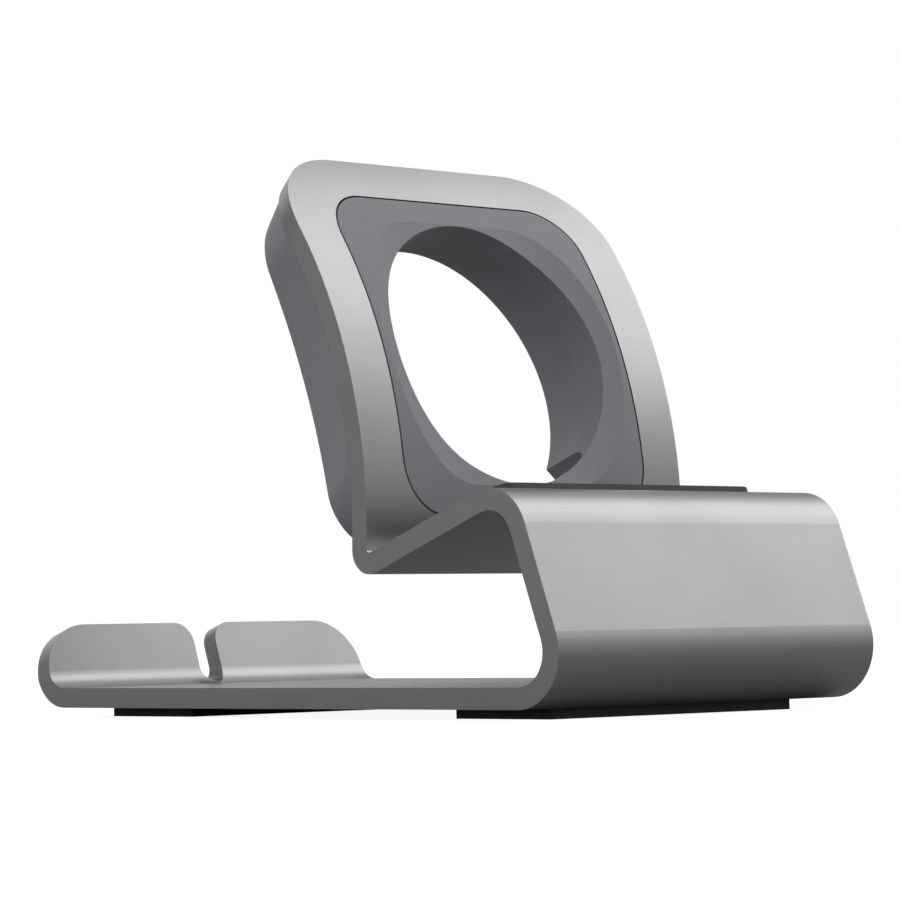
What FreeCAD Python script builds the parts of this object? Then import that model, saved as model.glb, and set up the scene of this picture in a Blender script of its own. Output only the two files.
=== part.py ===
import FreeCAD, Part
import math
import os
import Sketcher

# Smartwatch charging dock: one bent aluminium strip carries a moulded charger
# holder behind a curved, open face plate. All sizes are millimetres. The stand
# rests on two rubber pads at z = 0, its watch side faces +X and +Z is up.

doc = FreeCAD.newDocument("watch_dock")
deg = math.radians

# Named sizes of the strip, its opening, the charger holder and the pads.
sizes = {
    # the strip, read from the picture with the sheet's thickness as its unit
    "sheet": 2.0,
    "strip_width": 43.2,
    "base_length": 65.2,
    "tab_bend": 4.45,
    "tab_turn": 71.8,
    "tab_length": 5.0,
    "toe_bend": 5.2,
    "wall_lean": 20.3,
    "wall_length": 10.4,
    "top_bend": 4.9,
    "shelf_slope": 20.0,
    "shelf_length": 15.0,
    "vee_inner": 0.3,
    "plate_lean": 3.3,
    "plate_radius": 49.6,
    "plate_turn": 49.4,
    "plate_corner": 10.0,
    # cable slot and rounded corners of the two rear tabs
    "cord_slot": 3.0,
    "cord_slot_foot": 2.2,
    "tab_inner_corner": 2.2,
    "tab_outer_corner": 5.8,
    # opening in the plate, square to the charger's axis
    "face_tilt": 20.2,
    "open_width": 33.1,
    "open_height": 33.7,
    "open_corner": 5.35,
    # charger holder
    "plug_play": 0.2,
    "glue_film": 0.03,
    "holder_depth": 10.1,
    "holder_taper": 0.45,
    "holder_top_inset": 0.2,
    "holder_foot_drop": 0.45,
    "holder_foot_corner": 8.8,
    "puck_radius": 13.85,
    "puck_land": 4.4,
    "puck_back_radius": 14.8,
    "seat_depth": 2.0,
    "seat_flat": 13.5,
    "seat_round": 21.3,
    "cord_exit": 4.4,
    "cord_exit_back": 9.5,
    "cord_exit_crest": 2.3,
    "cord_exit_angle": 38.0,
    # rubber pads
    "foot_pad": 1.0,
    "foot_pad_width": 12.4,
    "pad_inset": 5.3,
    "rear_pad_start": 1.5,
    "front_pad_end": 1.0,
    "shelf_pad": 1.2,
    "shelf_pad_width": 10.0,
    "shelf_pad_inset": 4.2,
    "shelf_pad_start": 0.5,
    "shelf_pad_corner": 1.8,
}

# sizes that follow from the ones above, as formulas in the same sheet
derived = {
    "half_sheet": "=sheet / 2",
    "tab_mid": "=tab_bend - half_sheet",
    "toe_mid": "=toe_bend - half_sheet",
    "top_mid": "=top_bend - half_sheet",
    "vee_mid": "=vee_inner + half_sheet",
    "plate_mid": "=plate_radius - half_sheet",
    "toe_turn": "=90 + wall_lean",
    "top_turn": "=90 - wall_lean + shelf_slope",
    "vee_turn": "=90 + shelf_slope + plate_lean",
    "overall": "=base_length + toe_bend + tab_bend * sin(tab_turn * 1deg)"
               " + tab_length * cos(tab_turn * 1deg)",
    "toe_x": "=overall / 2 - toe_bend",
    "heel_x": "=toe_x - base_length",
    "mid_z": "=foot_pad + half_sheet",
    "tip_x": "=heel_x - tab_mid * sin(tab_turn * 1deg)"
             " - tab_length * cos(tab_turn * 1deg)",
    "tip_z": "=mid_z + tab_mid * (1 - cos(tab_turn * 1deg))"
             " + tab_length * sin(tab_turn * 1deg)",
    "wall_top_x": "=toe_x + toe_mid * sin(toe_turn * 1deg)"
                  " - wall_length * sin(wall_lean * 1deg)",
    "wall_top_z": "=mid_z + toe_mid * (1 - cos(toe_turn * 1deg))"
                  " + wall_length * cos(wall_lean * 1deg)",
    "top_x": "=wall_top_x - top_mid * cos(wall_lean * 1deg)",
    "top_z": "=wall_top_z - top_mid * sin(wall_lean * 1deg)",
    "shelf_x": "=top_x - top_mid * sin(shelf_slope * 1deg)",
    "shelf_z": "=top_z + top_mid * cos(shelf_slope * 1deg)",
    "vee_x": "=shelf_x - shelf_length * cos(shelf_slope * 1deg)"
             " - vee_mid * sin(shelf_slope * 1deg)",
    "vee_z": "=shelf_z - shelf_length * sin(shelf_slope * 1deg)"
             " + vee_mid * cos(shelf_slope * 1deg)",
    "plate_x": "=vee_x - (vee_mid + plate_mid) * cos(plate_lean * 1deg)",
    "plate_z": "=vee_z + (vee_mid + plate_mid) * sin(plate_lean * 1deg)",
    "back_radius": "=plate_radius - sheet",
    "top_angle": "=plate_turn - plate_lean - face_tilt",
    "corner_angle": "=top_angle - plate_corner / plate_radius * 180 / pi",
    "foot_angle": "=plate_lean + face_tilt",
    "holder_top": "=back_radius * sin(top_angle * 1deg) - holder_top_inset"
                  " + holder_taper * (back_radius - back_radius * cos(top_angle * 1deg))",
    "holder_foot": "=back_radius * sin(foot_angle * 1deg) + holder_foot_drop"
                   " + holder_taper * (back_radius - back_radius * cos(foot_angle * 1deg))",
    "holder_top_corner": "=plate_corner"
                         " + holder_taper * (back_radius - back_radius * cos(corner_angle * 1deg))",
    "holder_behind": "=holder_depth - sheet",
    "holder_draw": "=holder_taper * holder_behind",
    "side_round": "=back_radius / holder_taper",
    "back_side_round": "=(back_radius - holder_behind) / holder_taper",
    "apex_x": "=plate_x + plate_radius * cos(face_tilt * 1deg)",
    "apex_z": "=plate_z + plate_radius * sin(face_tilt * 1deg)",
}

sheet = doc.addObject("Spreadsheet::Sheet", "sizes")
for row, (alias, value) in enumerate(list(sizes.items()) + list(derived.items()), 1):
    sheet.set("A%d" % row, alias)
    sheet.set("B%d" % row, str(value))
    sheet.setAlias("B%d" % row, alias)
doc.recompute()


def val(alias):
    return float(sheet.get(alias))



def vec(x, y, z=0.0):
    return FreeCAD.Vector(x, y, z)


def turned(x, y, z, axis, angle):
    """A placement moved to a point and turned about one axis."""
    return FreeCAD.Placement(vec(x, y, z), FreeCAD.Rotation(vec(*axis), angle))


def new_body(name):
    body = doc.addObject("PartDesign::Body", name)
    body.Label = name
    return body


def place(body, x, z, angle=None):
    """Stand a body at a point of the size sheet, turned about Y by a formula."""
    body.Placement = turned(0, 0, 0, (0, 1, 0), 1)
    body.setExpression("Placement.Base.x", x)
    body.setExpression("Placement.Base.z", z)
    body.setExpression("Placement.Rotation.Angle", angle or "0deg")


def new_sketch(body, name, role, offset=None, formulas=None):
    """A sketch on one of the body's own planes, moved by an attachment offset."""
    sketch = body.newObject("Sketcher::SketchObject", name)
    base = next(f for f in body.Origin.OriginFeatures if f.Role == role)
    sketch.AttachmentSupport = [(base, "")]
    sketch.MapMode = "FlatFace"
    if offset is not None:
        sketch.AttachmentOffset = offset
    for key, formula in (formulas or {}).items():
        sketch.setExpression("AttachmentOffset." + key, formula)
    return sketch


def limit(sketch, kind, *where, to):
    """Add a dimension and bind it to its formula over the size sheet."""
    index = sketch.addConstraint(Sketcher.Constraint(kind, *where, to[1]))
    sketch.setExpression("Constraints[%d]" % index, to[0])


def size(alias, share=1.0):
    """One size as a formula with its present value."""
    text = "sizes." + alias if share == 1.0 else "sizes.%s * %g" % (alias, share)
    return text, val(alias) * share


def angle(alias):
    return "sizes.%s * 1deg" % alias, deg(val(alias))


def less(one, two, share=1.0):
    """The first size less a share of the second."""
    return "%s - (%s) * %g" % (one[0], two[0], share), one[1] - two[1] * share


def rule(sketch, *parts):
    sketch.addConstraint(Sketcher.Constraint(*parts))


def add_line(sketch, start, end):
    return sketch.addGeometry(Part.LineSegment(start, end))


def add_arc(sketch, middle, radius, first, last):
    circle = Part.Circle(middle, vec(0, 0, 1), radius)
    return sketch.addGeometry(Part.ArcOfCircle(circle, deg(first), deg(last)))


def box(sketch, width, height):
    """A plain rectangle centred on the sketch's origin."""
    w, h = width[1] / 2, height[1] / 2
    points = [vec(-w, -h), vec(w, -h), vec(w, h), vec(-w, h)]
    lines = [add_line(sketch, a, b) for a, b in zip(points, points[1:] + points[:1])]
    for one, two in zip(lines, lines[1:] + lines[:1]):
        rule(sketch, "Coincident", one, 2, two, 1)
    for line, way in zip(lines, ("Horizontal", "Vertical") * 2):
        rule(sketch, way, line)
    rule(sketch, "Symmetric", lines[0], 1, lines[2], 1, -1, 1)
    limit(sketch, "DistanceX", lines[0], 1, lines[0], 2, to=width)
    limit(sketch, "DistanceY", lines[1], 1, lines[1], 2, to=height)


def rounded_box(sketch, width, height, corner):
    """A rounded rectangle centred on the sketch's origin."""
    r = corner[1]
    w, h = width[1] / 2 - r, height[1] / 2 - r
    middles = [vec(w, h), vec(-w, h), vec(-w, -h), vec(w, -h)]
    arcs = [add_arc(sketch, m, r, 90 * i, 90 * i + 90) for i, m in enumerate(middles)]
    for i, (one, two) in enumerate(zip(arcs, arcs[1:] + arcs[:1])):
        side = add_line(sketch, sketch.Geometry[one].EndPoint, sketch.Geometry[two].StartPoint)
        rule(sketch, "Tangent", one, 2, side, 1)
        rule(sketch, "Tangent", side, 2, two, 1)
        rule(sketch, ("Horizontal", "Vertical")[i % 2], side)
    for arc in arcs[1:]:
        rule(sketch, "Equal", arcs[0], arc)
    limit(sketch, "Radius", arcs[0], to=corner)
    limit(sketch, "DistanceX", arcs[1], 3, arcs[0], 3, to=less(width, corner, 2))
    limit(sketch, "DistanceY", arcs[3], 3, arcs[0], 3, to=less(height, corner, 2))
    rule(sketch, "Symmetric", arcs[0], 3, arcs[2], 3, -1, 1)


def feature(body, kind, name, **values):
    item = body.newObject("PartDesign::" + kind, name)
    for key, value in values.items():
        setattr(item, key, value)
    return item


def bind(obj, **formulas):
    for key, formula in formulas.items():
        obj.setExpression(key, formula)
    return obj


def strip_route(sketch):
    """Draw the sheet's mid line as runs and bends that join tangent to each other."""
    moves = [
        ("tab_length", None, 0),
        ("tab_mid", "tab_turn", 1),
        ("base_length", None, 0),
        ("toe_mid", "toe_turn", 1),
        ("wall_length", None, 0),
        ("top_mid", "top_turn", 1),
        ("shelf_length", None, 0),
        ("vee_mid", "vee_turn", -1),
        ("plate_mid", "plate_turn", 1),
    ]
    spot = vec(val("tip_x"), val("tip_z"))
    heading = -val("tab_turn")
    joints = []
    for length, sweep, side in moves:
        ahead = vec(math.cos(deg(heading)), math.sin(deg(heading)))
        if not side:
            end = spot + ahead * val(length)
            index = add_line(sketch, spot, end)
            limit(sketch, "Distance", index, to=size(length))
            joints.append((index, 1, 2))
            spot = end
            continue
        middle = spot + vec(-ahead.y, ahead.x) * side * val(length)
        first = heading - 90 * side
        last = first + side * val(sweep)
        index = add_arc(sketch, middle, val(length), min(first, last), max(first, last))
        limit(sketch, "Radius", index, to=size(length))
        limit(sketch, "Angle", index, to=angle(sweep))
        joints.append((index, 1, 2) if side > 0 else (index, 2, 1))
        spot = middle + vec(math.cos(deg(last)), math.sin(deg(last))) * val(length)
        heading += side * val(sweep)
    for one, two in zip(joints, joints[1:]):
        rule(sketch, "Tangent", one[0], one[2], two[0], two[1])
    base = joints[2][0]
    rule(sketch, "Horizontal", base)
    limit(sketch, "DistanceX", -1, 1, base, 2, to=size("toe_x"))
    limit(sketch, "DistanceY", -1, 1, base, 2, to=size("mid_z"))


stand = new_body("stand_body")
route = new_sketch(stand, "strip_route", "XZ_Plane")
strip_route(route)

# the sheet's section stands square to the first tab's tip
section = new_sketch(
    stand, "strip_section", "XY_Plane",
    turned(val("tip_x"), 0, val("tip_z"), (0, 1, 0), 90 + val("tab_turn")),
    {"Base.x": "sizes.tip_x", "Base.z": "sizes.tip_z",
     "Rotation.Angle": "90deg + sizes.tab_turn * 1deg"})
box(section, size("sheet"), size("strip_width"))
doc.recompute()
edges = ["Edge%d" % (i + 1) for i in range(len(route.Shape.Edges))]
strip = feature(stand, "AdditivePipe", "bent_strip", Profile=section, Spine=(route, edges))
doc.recompute()

# square opening, cut along the charger's axis through the curved plate
face_frame = {"Base.x": "sizes.apex_x", "Base.z": "sizes.apex_z",
              "Rotation.Angle": "90deg - sizes.face_tilt * 1deg"}
opening = new_sketch(
    stand, "plate_opening", "XY_Plane",
    turned(val("apex_x"), 0, val("apex_z"), (0, 1, 0), 90 - val("face_tilt")), face_frame)
rounded_box(opening, size("open_height"), size("open_width"), size("open_corner"))
opened = feature(stand, "Pocket", "plate_opening_cut", Profile=opening)
bind(opened, Length="sizes.holder_depth * 1mm")

# cable slot between the two rear tabs, its round foot on the bend
slot = new_sketch(
    stand, "cord_slot", "YZ_Plane", turned(0, 0, 0, (0, 1, 0), 0),
    {"Base.z": "sizes.heel_x"})
half, foot = val("cord_slot") / 2, val("cord_slot_foot") + val("foot_pad")
lift = 2 * val("tab_bend") + val("tab_length")
bowl = add_arc(slot, vec(0, foot + half), half, 180, 360)
right = add_line(slot, vec(half, foot + half), vec(half, foot + lift))
crown = add_line(slot, vec(half, foot + lift), vec(-half, foot + lift))
left = add_line(slot, vec(-half, foot + lift), vec(-half, foot + half))
rule(slot, "Tangent", bowl, 2, right, 1)
rule(slot, "Coincident", right, 2, crown, 1)
rule(slot, "Coincident", crown, 2, left, 1)
rule(slot, "Tangent", left, 2, bowl, 1)
rule(slot, "Horizontal", crown)
rule(slot, "Vertical", right)
rule(slot, "PointOnObject", bowl, 3, -2)
limit(slot, "Radius", bowl, to=size("cord_slot", 0.5))
limit(slot, "DistanceY", -1, 1, bowl, 3,
      to=("sizes.foot_pad + sizes.cord_slot_foot + sizes.cord_slot / 2", foot + half))
limit(slot, "DistanceY", right, 1, right, 2, to=("2 * sizes.tab_bend + sizes.tab_length", lift))
slotted = feature(stand, "Pocket", "cord_slot_cut", Profile=slot)
bind(slotted, Length="2 * sizes.tab_bend * 1mm + sizes.tab_length * 1mm")
doc.recompute()


def across(shape, near, span):
    """Names of the short edges through the sheet whose middles lie within a span of a point."""
    names = []
    for i, edge in enumerate(shape.Edges, 1):
        middle = edge.CenterOfMass
        flat = math.hypot(middle.x - near.x, middle.z - near.z)
        if abs(edge.Length - val("sheet")) < 0.01 and flat < 0.1 and span(abs(middle.y)):
            names.append("Edge%d" % i)
    return names


edge_y = val("strip_width") / 2
tip = vec(val("tip_x"), 0, val("tip_z"))
end_angle = deg(val("plate_turn") - val("plate_lean"))
plate_top = vec(
    val("plate_x") + val("plate_mid") * math.cos(end_angle), 0,
    val("plate_z") + val("plate_mid") * math.sin(end_angle))
rounds = [
    ("slot_corners", tip, lambda y: y < val("cord_slot"), "tab_inner_corner"),
    ("tab_corners", tip, lambda y: y > edge_y - 0.1, "tab_outer_corner"),
    ("plate_corners", plate_top, lambda y: y > edge_y - 0.1, "plate_corner"),
]
last = slotted
for name, near, span, radius in rounds:
    picked = across(last.Shape, near, span)
    last = feature(stand, "Fillet", name, Base=(last, picked))
    bind(last, Radius="sizes.%s * 1mm" % radius)
    doc.recompute()

# The charger holder has its own frame: origin on the plate's front face, +Z out
# along the charger's axis, +X down the face and +Y across the strip.
holder = new_body("charger_holder")
place(holder, "sizes.apex_x", "sizes.apex_z", "90deg - sizes.face_tilt * 1deg")


def holder_outline(sketch, draw, side):
    """Rounded outline whose long sides are drawn in where the cone is cut flat."""
    top, foot = less(size("holder_top"), draw), less(size("holder_foot"), draw)
    high, low = less(size("holder_top_corner"), draw), less(size("holder_foot_corner"), draw)
    waist = less(size("strip_width", 0.5), draw)
    inset = {}
    for key, end, r in (("top", -top[1], high[1]), ("foot", foot[1], low[1])):
        x = end + math.copysign(r, -end)
        reach = math.sqrt((side[1] + r) ** 2 - x ** 2)
        y = waist[1] + side[1] - reach
        inset[key] = (x, y, math.degrees(math.atan2(waist[1] + side[1] - y, -x)))
    arcs = {}
    for key, r in (("top", high[1]), ("foot", low[1])):
        x, y, lean = inset[key]
        for way in (1, -1):
            if key == "top":
                first, end = (lean, 180) if way > 0 else (180, 360 - lean)
            else:
                first, end = (0, lean) if way > 0 else (-lean, 0)
            arcs[key, way] = add_arc(sketch, vec(x, way * y), r, first, end)
    for way in (1, -1):
        tilt = [math.degrees(math.atan2(inset[k][1] - waist[1] - side[1], inset[k][0]))
                for k in ("top", "foot")]
        span = sorted(way * t % 360 for t in tilt)
        arcs["side", way] = add_arc(
            sketch, vec(0, way * (waist[1] + side[1])), side[1], span[0], span[1])
    geometry = sketch.Geometry
    ends = {
        "top": add_line(sketch, geometry[arcs["top", -1]].StartPoint,
                        geometry[arcs["top", 1]].EndPoint),
        "foot": add_line(sketch, geometry[arcs["foot", -1]].EndPoint,
                         geometry[arcs["foot", 1]].StartPoint),
    }
    rule(sketch, "Tangent", arcs["top", -1], 1, ends["top"], 1)
    rule(sketch, "Tangent", arcs["top", 1], 2, ends["top"], 2)
    rule(sketch, "Tangent", arcs["foot", -1], 2, ends["foot"], 1)
    rule(sketch, "Tangent", arcs["foot", 1], 1, ends["foot"], 2)
    rule(sketch, "Tangent", arcs["top", 1], 1, arcs["side", 1], 1)
    rule(sketch, "Tangent", arcs["side", 1], 2, arcs["foot", 1], 2)
    rule(sketch, "Tangent", arcs["foot", -1], 1, arcs["side", -1], 1)
    rule(sketch, "Tangent", arcs["side", -1], 2, arcs["top", -1], 2)
    rule(sketch, "Vertical", ends["top"])
    rule(sketch, "Vertical", ends["foot"])
    limit(sketch, "DistanceX", ends["top"], 1, -1, 1, to=top)
    limit(sketch, "DistanceX", -1, 1, ends["foot"], 1, to=foot)
    limit(sketch, "Radius", arcs["top", 1], to=high)
    limit(sketch, "Radius", arcs["foot", 1], to=low)
    rule(sketch, "Equal", arcs["top", 1], arcs["top", -1])
    rule(sketch, "Equal", arcs["foot", 1], arcs["foot", -1])
    for way in (1, -1):
        rule(sketch, "PointOnObject", arcs["side", way], 3, -2)
        limit(sketch, "Radius", arcs["side", way], to=side)
    reach = "%s + %s" % (waist[0], side[0]), waist[1] + side[1]
    limit(sketch, "DistanceY", -1, 1, arcs["side", 1], 3, to=reach)
    limit(sketch, "DistanceY", arcs["side", -1], 3, -1, 1, to=reach)


front = new_sketch(holder, "holder_front", "XY_Plane", turned(0, 0, 0, (0, 0, 1), 0),
                   {"Base.z": "-sizes.sheet"})
holder_outline(front, ("0", 0.0), size("side_round"))
back = new_sketch(holder, "holder_back", "XY_Plane", turned(0, 0, 0, (0, 0, 1), 0),
                  {"Base.z": "-sizes.holder_depth"})
holder_outline(back, size("holder_draw"), size("back_side_round"))
doc.recompute()
hood = feature(holder, "AdditiveLoft", "hood", Profile=front, Sections=[back], Ruled=True)


def trim_round(name, radius, gap):
    """Cut the holder back to a cylinder about the curved plate's own axis."""
    sketch = new_sketch(holder, name + "_ring", "YZ_Plane")
    inner = "(%s - %s)" % (radius[0], gap[0]), radius[1] - gap[1]
    width = size("strip_width", 1.5)
    w, low = width[1] / 2, inner[1] - val("plate_radius")
    tall = val("holder_depth")
    points = [vec(-w, low), vec(w, low), vec(w, low + tall), vec(-w, low + tall)]
    lines = [add_line(sketch, a, b) for a, b in zip(points, points[1:] + points[:1])]
    for one, two in zip(lines, lines[1:] + lines[:1]):
        rule(sketch, "Coincident", one, 2, two, 1)
    for line, way in zip(lines[1:], ("Vertical", "Horizontal", "Vertical")):
        rule(sketch, way, line)
    rule(sketch, "Symmetric", lines[0], 1, lines[0], 2, -2)
    axis = add_line(sketch, vec(-w, -val("plate_radius")), vec(w, -val("plate_radius")))
    sketch.toggleConstruction(axis)
    rule(sketch, "Horizontal", axis)
    rule(sketch, "Vertical", axis, 1, lines[0], 1)
    rule(sketch, "Vertical", axis, 2, lines[0], 2)
    limit(sketch, "DistanceX", lines[0], 1, lines[0], 2, to=width)
    limit(sketch, "DistanceY", axis, 1, -1, 1, to=size("plate_radius"))
    limit(sketch, "DistanceY", axis, 1, lines[0], 1, to=inner)
    limit(sketch, "DistanceY", lines[1], 1, lines[1], 2, to=size("holder_depth"))
    cut = feature(holder, "Groove", name, Profile=sketch, ReferenceAxis=(sketch, ["Axis0"]),
                  Angle=120, Midplane=True)
    return cut


trim_round("hood_front", size("back_radius"), size("glue_film"))

# the plug fills the plate's opening and ends flush with its curved face
plug = new_sketch(holder, "plug_outline", "XY_Plane", turned(0, 0, 0, (0, 0, 1), 0),
                  {"Base.z": "-sizes.holder_behind"})
play = size("plug_play")
rounded_box(plug, less(size("open_height"), play, 2), less(size("open_width"), play, 2),
            less(size("open_corner"), play))
grown = feature(holder, "Pad", "plug", Profile=plug)
bind(grown, Length="sizes.holder_depth * 1mm")
trim_round("plug_face", size("plate_radius"), ("0", 0.0))

# the watch's back sits in a trough that runs straight down the face
trough = new_sketch(holder, "seat_trough", "YZ_Plane")
flat, ball, deep = val("seat_flat") / 2, val("seat_round"), val("seat_depth")
reach = math.degrees(math.acos(1 - 2 * deep / ball))
lip = vec(flat + ball * math.sin(deg(reach)), deep)
floor = add_line(trough, vec(-flat, -deep), vec(flat, -deep))
far = add_arc(trough, vec(flat, ball - deep), ball, 270, 270 + reach)
lid = add_line(trough, lip, vec(-lip.x, deep))
near = add_arc(trough, vec(-flat, ball - deep), ball, 270 - reach, 270)
rule(trough, "Tangent", floor, 2, far, 1)
rule(trough, "Coincident", far, 2, lid, 1)
rule(trough, "Coincident", lid, 2, near, 1)
rule(trough, "Tangent", near, 2, floor, 1)
rule(trough, "Horizontal", lid)
rule(trough, "Equal", far, near)
rule(trough, "Symmetric", floor, 1, floor, 2, -2)
limit(trough, "DistanceX", floor, 1, floor, 2, to=size("seat_flat"))
limit(trough, "Radius", far, to=size("seat_round"))
limit(trough, "DistanceY", floor, 1, -1, 1, to=size("seat_depth"))
limit(trough, "DistanceY", -1, 1, far, 2, to=size("seat_depth"))
seat = feature(holder, "Pocket", "seat_cut", Profile=trough, Midplane=True)
bind(seat, Length="2 * sizes.open_height * 1mm")

# through bore for the charging puck: a short land, then it widens to the back
bore = new_sketch(holder, "puck_bore", "XZ_Plane")
land, wide = val("puck_radius"), val("puck_back_radius")
depths = [deep, -val("puck_land"), -val("holder_depth")]
points = [vec(0, depths[0]), vec(0, depths[2]), vec(wide, depths[2]),
          vec(land, depths[1]), vec(land, depths[0])]
lines = [add_line(bore, a, b) for a, b in zip(points, points[1:] + points[:1])]
for one, two in zip(lines, lines[1:] + lines[:1]):
    rule(bore, "Coincident", one, 2, two, 1)
rule(bore, "Vertical", lines[0])
rule(bore, "Horizontal", lines[1])
rule(bore, "Vertical", lines[3])
rule(bore, "Horizontal", lines[4])
rule(bore, "PointOnObject", lines[0], 1, -2)
limit(bore, "DistanceX", lines[4], 2, lines[4], 1, to=size("puck_radius"))
limit(bore, "DistanceX", lines[1], 1, lines[1], 2, to=size("puck_back_radius"))
limit(bore, "DistanceY", -1, 1, lines[0], 1, to=size("seat_depth"))
limit(bore, "DistanceY", lines[0], 2, -1, 1, to=size("holder_depth"))
limit(bore, "DistanceY", lines[2], 2, -1, 1, to=size("puck_land"))
feature(holder, "Groove", "puck_bore_cut", Profile=bore, ReferenceAxis=(bore, ["V_Axis"]),
        Angle=360)

# the puck's cord leaves through an arched slot at the lower far corner, which
# flares to the back
exit_slot = new_sketch(
    holder, "cord_exit", "YZ_Plane", turned(0, 0, 0, (0, 1, 0), val("cord_exit_angle")),
    {"Rotation.Angle": "sizes.cord_exit_angle * 1deg"})
half = val("cord_exit") / 2
crest = -val("cord_exit_crest") - half
sill = -val("holder_depth") - half
arch = add_arc(exit_slot, vec(0, crest), half, 0, 180)
flare = val("cord_exit_back") / 2
left = add_line(exit_slot, vec(-half, crest), vec(-flare, sill))
foot_line = add_line(exit_slot, vec(-flare, sill), vec(flare, sill))
right = add_line(exit_slot, vec(flare, sill), vec(half, crest))
rule(exit_slot, "Tangent", arch, 2, left, 1)
rule(exit_slot, "Coincident", left, 2, foot_line, 1)
rule(exit_slot, "Coincident", foot_line, 2, right, 1)
rule(exit_slot, "Tangent", right, 2, arch, 1)
rule(exit_slot, "Symmetric", foot_line, 1, foot_line, 2, -2)
rule(exit_slot, "PointOnObject", arch, 3, -2)
limit(exit_slot, "DistanceX", foot_line, 1, foot_line, 2, to=size("cord_exit_back"))
limit(exit_slot, "Radius", arch, to=size("cord_exit", 0.5))
limit(exit_slot, "DistanceY", arch, 3, -1, 1,
      to=("sizes.cord_exit_crest + sizes.cord_exit / 2", -crest))
limit(exit_slot, "DistanceY", foot_line, 1, -1, 1,
      to=("sizes.holder_depth + sizes.cord_exit / 2", -sill))
leave = feature(holder, "Pocket", "cord_exit_cut", Profile=exit_slot, Reversed=True)
bind(leave, Length="sizes.strip_width * 1mm")


def rubber(name, width, thick, inset, place_at, corner=None):
    """A flat pad across the strip, held in from both of its edges."""
    body = new_body(name)
    place(body, *place_at)
    outline = new_sketch(body, name + "_outline", "XY_Plane")
    length = less(size("strip_width"), size(inset), 2)
    if corner is None:
        box(outline, size(width), length)
    else:
        rounded_box(outline, size(width), length, size(corner))
    pad = feature(body, "Pad", name + "_pad", Profile=outline)
    bind(pad, Length="sizes.%s * 1mm" % thick)
    return body


rear_pad = rubber("rear_foot_pad", "foot_pad_width", "foot_pad", "pad_inset", (
    "sizes.heel_x + sizes.rear_pad_start + sizes.foot_pad_width / 2", "0"))
front_pad = rubber("front_foot_pad", "foot_pad_width", "foot_pad", "pad_inset", (
    "sizes.toe_x - sizes.front_pad_end - sizes.foot_pad_width / 2", "0"))
slope_in = "(sizes.shelf_pad_start + sizes.shelf_pad_width / 2)"
shelf_pad = rubber("shelf_pad", "shelf_pad_width", "shelf_pad", "shelf_pad_inset", (
    "sizes.shelf_x - " + slope_in + " * cos(sizes.shelf_slope * 1deg)"
    " - sizes.half_sheet * sin(sizes.shelf_slope * 1deg)",
    "sizes.shelf_z - " + slope_in + " * sin(sizes.shelf_slope * 1deg)"
    " + sizes.half_sheet * cos(sizes.shelf_slope * 1deg)",
    "-sizes.shelf_slope * 1deg"), "shelf_pad_corner")
doc.recompute()

faults = [o.Name for o in doc.Objects if {"Invalid", "Error"} & set(o.State)]
if faults:
    raise RuntimeError("not rebuilt: " + ", ".join(faults))
os.makedirs("parts", exist_ok=True)
for body in (stand, holder, rear_pad, front_pad, shelf_pad):
    shape = body.Shape
    if shape.isNull() or not shape.isValid() or len(shape.Solids) != 1:
        raise RuntimeError("not one sound solid: " + body.Name)
    shape.exportStep("parts/%s.step" % body.Name)
    room = shape.BoundBox
    print("%-16s %9.1f mm3   x %.2f..%.2f  y %.2f..%.2f  z %.2f..%.2f" % (
        body.Name, shape.Volume, room.XMin, room.XMax, room.YMin, room.YMax,
        room.ZMin, room.ZMax))
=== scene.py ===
import math
import bpy
from mathutils import Matrix, Vector

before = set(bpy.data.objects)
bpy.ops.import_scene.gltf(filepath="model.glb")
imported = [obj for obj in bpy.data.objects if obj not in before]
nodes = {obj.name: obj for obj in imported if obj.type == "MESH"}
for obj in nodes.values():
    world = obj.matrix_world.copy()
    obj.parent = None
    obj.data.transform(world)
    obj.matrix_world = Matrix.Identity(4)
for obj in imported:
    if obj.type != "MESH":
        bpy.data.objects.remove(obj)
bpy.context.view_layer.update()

# Smartwatch charging dock: a bent strip of satin sheet, a moulded charger holder
# behind its open face plate, and three rubber pads. Everything is in metres.

bpy.context.scene.view_settings.view_transform = "Standard"
print("frame loaded with", len(nodes), "solids")


# the camera stands low in front of the stand, a little to its open side
cameraView = {
    "place": (0.27266, -0.26080, 0.00881),
    "right": (0.69369, 0.72004, -0.01829),
    "up": (0.04560, -0.01856, 0.99879),
    "lens": 151.77,
    "nearest": 0.01,
}


def placeCamera(settings):
    right = Vector(settings["right"]).normalized()
    back = right.cross(Vector(settings["up"])).normalized()
    up = back.cross(right)
    data = bpy.data.cameras.new("camera")
    data.lens = settings["lens"]
    data.clip_start = settings["nearest"]
    camera = bpy.data.objects.new("camera", data)
    turn = Matrix((right, up, back)).transposed().to_4x4()
    camera.matrix_world = Matrix.Translation(settings["place"]) @ turn
    bpy.context.scene.collection.objects.link(camera)
    bpy.context.scene.camera = camera


placeCamera(cameraView)
print("camera placed")


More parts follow.
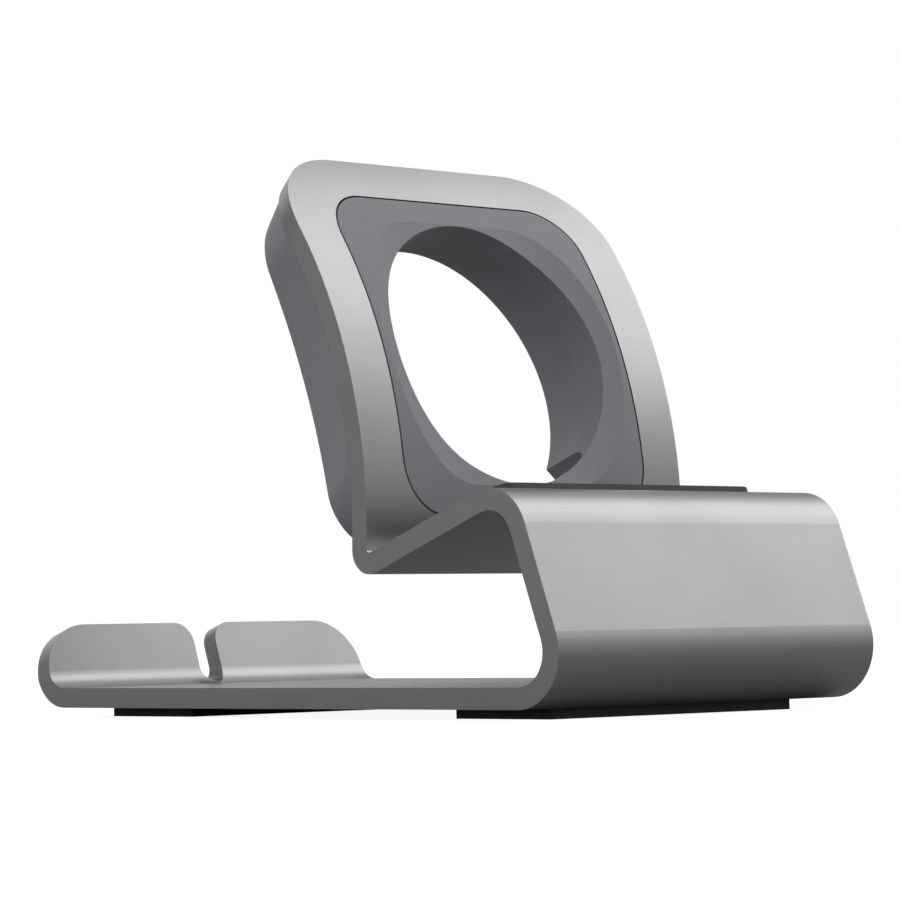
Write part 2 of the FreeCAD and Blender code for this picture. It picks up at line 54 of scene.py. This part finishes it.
# shader maths: a Wire holds one socket, and expressions on wires add the nodes
class Wire:
    def __init__(self, tree, socket=None):
        self.tree = tree
        self.socket = socket

    def node(self, kind, settings=None, inputs=None, output=0):
        made = self.tree.nodes.new("ShaderNode" + kind)
        for name, value in (settings or {}).items():
            if name == "stops":
                self.setStops(made.color_ramp.elements, value)
            else:
                setattr(made, name, value)
        for name, value in (inputs or {}).items():
            if isinstance(value, Wire):
                self.tree.links.new(value.socket, made.inputs[name])
            else:
                made.inputs[name].default_value = value
        return Wire(self.tree, made.outputs[output] if made.outputs else None)

    def setStops(self, elements, stops):
        for spare in list(elements)[1:]:
            elements.remove(spare)
        for index, (place, tone) in enumerate(stops):
            stop = elements[0] if index == 0 else elements.new(place)
            stop.position = place
            stop.color = (tone, tone, tone, 1.0)

    def maths(self, operation, one, two=0.0):
        return self.node("Math", {"operation": operation}, {0: one, 1: two})

    def __add__(self, other):
        return self.maths("ADD", self, other)

    def __sub__(self, other):
        return self.maths("SUBTRACT", self, other)

    def __rsub__(self, other):
        return self.maths("SUBTRACT", other, self)

    def __mul__(self, other):
        return self.maths("MULTIPLY", self, other)

    __radd__ = __add__
    __rmul__ = __mul__

    def size(self):
        return self.maths("ABSOLUTE", self)

    def larger(self, other):
        return self.maths("MAXIMUM", self, other)

    def axis(self, name):  # one number of a place or a direction
        return self.node("SeparateXYZ", inputs={"Vector": self}, output=name)

    def towards(self, direction):  # 1 along the direction, -1 away from it
        return self.node("VectorMath", {"operation": "DOT_PRODUCT"},
                         {0: self, 1: tuple(direction.normalized())}, output="Value")

    def between(self, low, high):  # 0 below low, 1 above high, smooth between
        return self.node("MapRange", {"interpolation_type": "SMOOTHSTEP"},
                         {"Value": self, "From Min": low, "From Max": high})

    def blend(self, one, two):  # a colour from one to two as this goes from 0 to 1
        return self.node("Mix", {"data_type": "RGBA"},
                         {"Factor": self, 6: one, 7: two}, output=2)


def newMaterial(name):
    material = bpy.data.materials.new(name)
    material.use_nodes = True
    tree = material.node_tree
    tree.nodes.clear()
    return material, Wire(tree)


def closeMaterial(wires, shader):
    wires.node("OutputMaterial", inputs={"Surface": shader})


def placeOn(wires):
    return wires.node("TexCoord", output="Object")


def facing(wires):
    return wires.node("NewGeometry", output="Normal")


def noise(wires, scale, detail, roughness=0.5, stretch=(1.0, 1.0, 1.0)):
    place = wires.node("Mapping", inputs={"Vector": placeOn(wires), "Scale": stretch})
    return wires.node("TexNoise", inputs={
        "Vector": place, "Scale": scale, "Detail": detail, "Roughness": roughness})


def relief(wires, height):  # height is in metres
    return wires.node("Bump", inputs={"Height": height, "Distance": 1.0, "Strength": 1.0})


def grey(level, tint=(1.0, 1.0, 1.0)):
    return tuple(level * part for part in tint) + (1.0,)


# satin sheet: blasted and anodised, with a faint grain across the strip and
# slightly barer metal along its edges
satinSheet = {
    "tone": 0.415,
    "edgeTone": 0.49,
    "edgeStart": 0.0213,  # the barer metal begins and is full this far from the middle
    "edgeEnd": 0.0216,
    "edgeWear": 0.6,
    "edgeRoughness": 0.32,
    "roughness": 0.36,
    "cloudScale": 90.0,
    "cloudTone": 0.035,
    "cloudRoughness": 0.07,
    "grainScale": 5200.0,
    "grainTone": 0.05,
    "grainRoughness": 0.06,
    "grainHeight": 0.000006,
    "lineScale": 2600.0,
    "lineStretch": (1.0, 0.012, 1.0),
    "lineTone": 0.04,
    "lineHeight": 0.000004,
}


def makeSheetMetal(look):
    material, wires = newMaterial("satinSheet")
    cloud = noise(wires, look["cloudScale"], 3.0)
    grain = noise(wires, look["grainScale"], 2.0, 0.6)
    lines = noise(wires, look["lineScale"], 2.0, 0.6, look["lineStretch"])
    across = placeOn(wires).axis("Y").size()
    sideFace = facing(wires).axis("Y").size().between(0.5, 0.9)
    nearEdge = across.between(look["edgeStart"], look["edgeEnd"])
    worn = nearEdge * (1.0 - sideFace) * cloud.between(0.4, 0.7)
    level = 1.0 - look["cloudTone"] * cloud.between(0.35, 0.7)
    level = level - look["grainTone"] * (grain - 0.5) - look["lineTone"] * (lines - 0.5)
    plain = (worn * look["edgeWear"]).blend(grey(look["tone"]), grey(look["edgeTone"]))
    colour = wires.node("VectorMath", {"operation": "SCALE"}, {0: plain, "Scale": level})
    rough = look["roughness"] + look["cloudRoughness"] * (cloud - 0.5)
    rough = rough + look["grainRoughness"] * (grain - 0.5)
    rough = rough - (look["roughness"] - look["edgeRoughness"]) * worn
    height = grain * look["grainHeight"] + lines * look["lineHeight"]
    shader = wires.node("BsdfPrincipled", inputs={
        "Base Color": colour, "Metallic": 1.0, "Roughness": rough,
        "Normal": relief(wires, height)})
    closeMaterial(wires, shader)
    return material


# moulded holder: a matt grey plastic with the fine spark texture of its mould
mouldedGrey = {
    "tone": (0.228, 0.225, 0.252, 1.0),
    "paleTone": (0.262, 0.259, 0.286, 1.0),
    "roughness": 0.56,
    "specular": 0.35,
    "cloudScale": 60.0,
    "cloudTone": 0.35,
    "cloudRoughness": 0.1,
    "sparkScale": 4200.0,
    "sparkTone": 0.4,
    "sparkRoughness": 0.08,
    "sparkHeight": 0.000010,
}


def makeMoulding(look):
    material, wires = newMaterial("mouldedGrey")
    cloud = noise(wires, look["cloudScale"], 3.0)
    pits = noise(wires, look["sparkScale"], 3.0, 0.65).between(0.3, 0.7)
    pale = look["cloudTone"] * cloud.between(0.3, 0.7) + look["sparkTone"] * pits
    rough = look["roughness"] + look["cloudRoughness"] * (cloud - 0.5)
    rough = rough - look["sparkRoughness"] * (pits - 0.5)
    shader = wires.node("BsdfPrincipled", inputs={
        "Base Color": pale.blend(look["tone"], look["paleTone"]), "Roughness": rough,
        "Specular IOR Level": look["specular"],
        "Normal": relief(wires, pits * look["sparkHeight"])})
    closeMaterial(wires, shader)
    return material


# pads: die-cut black foam rubber, with open cells and a little dust on top
foamRubber = {
    "roughness": 0.74,
    "specular": 0.3,
    "cellScale": 2400.0,
    "cellEdge": 0.18,
    "cellTone": 0.15,
    "cellRoughness": 0.08,
    "cellHeight": 0.000012,
    "cloudScale": 160.0,
    "cloudRoughness": 0.16,
    "dustShare": 0.7,
    "dustTint": (1.0, 0.99, 0.98),
}
shelfRubber = {"name": "shelfRubber", "tone": 0.054, "dust": 0.095}
footRubber = {"name": "footRubber", "tone": 0.06, "dust": 0.1}


def makeRubber(pad, look):
    material, wires = newMaterial(pad["name"])
    cells = wires.node("TexVoronoi", {"feature": "DISTANCE_TO_EDGE"},
                       {"Vector": placeOn(wires), "Scale": look["cellScale"]})
    skin = cells.between(0.0, look["cellEdge"])
    cloud = noise(wires, look["cloudScale"], 4.0, 0.6)
    upward = facing(wires).axis("Z").between(0.5, 0.95)
    dusty = upward * cloud.between(0.45, 0.75) * look["dustShare"] + look["cellTone"] * skin
    colour = dusty.blend(grey(pad["tone"]), grey(pad["dust"], look["dustTint"]))
    rough = look["roughness"] + look["cloudRoughness"] * (cloud - 0.5)
    rough = rough - look["cellRoughness"] * skin
    shader = wires.node("BsdfPrincipled", inputs={
        "Base Color": colour, "Roughness": rough, "Specular IOR Level": look["specular"],
        "Normal": relief(wires, skin * look["cellHeight"])})
    closeMaterial(wires, shader)
    return material


def dress(name, material):
    mesh = nodes[name].data
    mesh.materials.clear()
    mesh.materials.append(material)


dress("stand_body", makeSheetMetal(satinSheet))
dress("charger_holder", makeMoulding(mouldedGrey))
dress("shelf_pad", makeRubber(shelfRubber, foamRubber))
footMaterial = makeRubber(footRubber, foamRubber)
dress("rear_foot_pad", footMaterial)
dress("front_foot_pad", footMaterial)
print("materials given to the solids")


# the white surround: the camera, metal and glass see it white, and matt surfaces
# are lit by it at a plain level
surround = {"white": 1.0, "light": 0.62}


def makeSurround(settings):
    world = bpy.data.worlds.new("surround")
    bpy.context.scene.world = world
    world.use_nodes = True
    world.node_tree.nodes.clear()
    wires = Wire(world.node_tree)
    seen = wires.node("LightPath", output="Is Camera Ray")
    seen = seen.larger(wires.node("LightPath", output="Is Glossy Ray"))
    seen = seen.larger(wires.node("LightPath", output="Is Transmission Ray"))
    level = settings["light"] + (settings["white"] - settings["light"]) * seen
    shine = wires.node("Background", inputs={"Color": grey(1.0), "Strength": level})
    wires.node("OutputWorld", inputs={"Surface": shine})


makeSurround(surround)


# plain pale floor: the camera sees a glow in it too, so it is white outside the
# stand's soft shadow
paleFloor = {"side": 6.0, "tone": 0.25, "glow": 0.93}


def stagePiece(name, material):
    piece = bpy.context.object
    piece.name = piece.data.name = name
    piece.data.materials.append(material)
    return piece


def makeFloor(settings):
    material, wires = newMaterial("paleFloor")
    seen = wires.node("LightPath", output="Is Camera Ray") * settings["glow"]
    matt = wires.node("BsdfDiffuse", inputs={"Color": grey(settings["tone"])})
    glow = wires.node("Emission", inputs={"Color": grey(1.0), "Strength": seen})
    closeMaterial(wires, wires.node("AddShader", inputs={0: matt, 1: glow}))
    bpy.ops.mesh.primitive_plane_add(size=settings["side"])
    stagePiece("floor", material)


makeFloor(paleFloor)


# a grey tent round the stand, which only its shine sees: it is open towards the
# side box, pale round the opening and in a few soft patches, and grey elsewhere
tent = {
    "radius": 0.76,
    "divisions": 5,
    "open": (0.24, 0.74, 0.62),
    "openAngle": 23.0,
    "tones": [  # from 0, opposite the opening, to 1, at its middle
        (0.0, 0.44), (0.19, 0.38), (0.35, 0.21), (0.5, 0.15), (0.66, 0.24),
        (0.85, 0.32), (0.92, 0.50), (0.96, 0.80)],
    "patches": [  # middle, level there, angle at which it ends
        ((0.86, -0.42, 0.28), 1.0, 52.0),
        ((0.12, -0.93, 0.35), 1.0, 50.0),
        ((-0.95, 0.28, 0.10), 0.80, 46.0),
        ((0.10, -0.12, 0.98), 1.0, 49.0),
    ],
}


def makeTentCloth(settings):
    material, wires = newMaterial("tent")
    place = wires.node("VectorMath", {"operation": "NORMALIZE"}, {0: placeOn(wires)})
    along = 0.5 + 0.5 * place.towards(Vector(settings["open"]))
    tone = wires.node("ValToRGB", {"stops": settings["tones"]}, {"Fac": along})
    for middle, level, angle in settings["patches"]:
        near = place.towards(Vector(middle)).between(math.cos(math.radians(angle)), 1.0)
        tone = tone.larger(near * level)
    closeMaterial(wires, wires.node("Emission", inputs={"Color": tone, "Strength": 1.0}))
    return material


def makeTent(settings):
    bpy.ops.mesh.primitive_ico_sphere_add(subdivisions=settings["divisions"],
                                          radius=settings["radius"])
    card = stagePiece("tent", makeTentCloth(settings))
    bpy.ops.object.mode_set(mode="EDIT")
    bpy.ops.mesh.select_mode(type="FACE")
    bpy.ops.mesh.select_all(action="DESELECT")
    bpy.ops.object.mode_set(mode="OBJECT")
    middle = Vector(settings["open"]).normalized()
    edge = math.cos(math.radians(settings["openAngle"]))
    for face in card.data.polygons:  # what is below the floor or in the opening goes
        outward = face.center.normalized()
        face.select = outward.z < 0.0 or outward.dot(middle) > edge
    bpy.ops.object.mode_set(mode="EDIT")
    bpy.ops.mesh.delete(type="FACE")
    bpy.ops.object.mode_set(mode="OBJECT")
    card.visible_camera = card.visible_diffuse = card.visible_shadow = False
    card.visible_transmission = card.visible_volume_scatter = False


makeTent(tent)
print("surround, floor and tent made")


# soft boxes: each one is aimed at the stand, and its brightness is that of its face
softBoxes = {
    "side": 0.46,
    "aim": (0.0, 0.0, 0.025),
    "boxes": {  # place, brightness, and whether metal mirrors it
        "sideBox": ((0.168, 0.518, 0.434), 0.9, True),
        "frontBox": ((0.42, 0.42, 0.42), 1.45, False),
        "fillBox": ((-0.15, -0.65, 0.2), 0.95, False),
        "backBox": ((-0.52, 0.36, 0.28), 1.3, False),
    },
}


def hangSoftBoxes(settings):
    for name, (place, brightness, mirrored) in settings["boxes"].items():
        data = bpy.data.lights.new(name, "AREA")
        data.shape = "SQUARE"
        data.size = settings["side"]
        data.energy = brightness * math.pi * settings["side"] ** 2
        lamp = bpy.data.objects.new(name, data)
        aim = Vector(settings["aim"]) - Vector(place)
        lamp.location = place
        lamp.rotation_euler = aim.to_track_quat("-Z", "Y").to_euler()
        lamp.visible_glossy = mirrored
        bpy.context.scene.collection.objects.link(lamp)


hangSoftBoxes(softBoxes)
print("soft boxes hung")
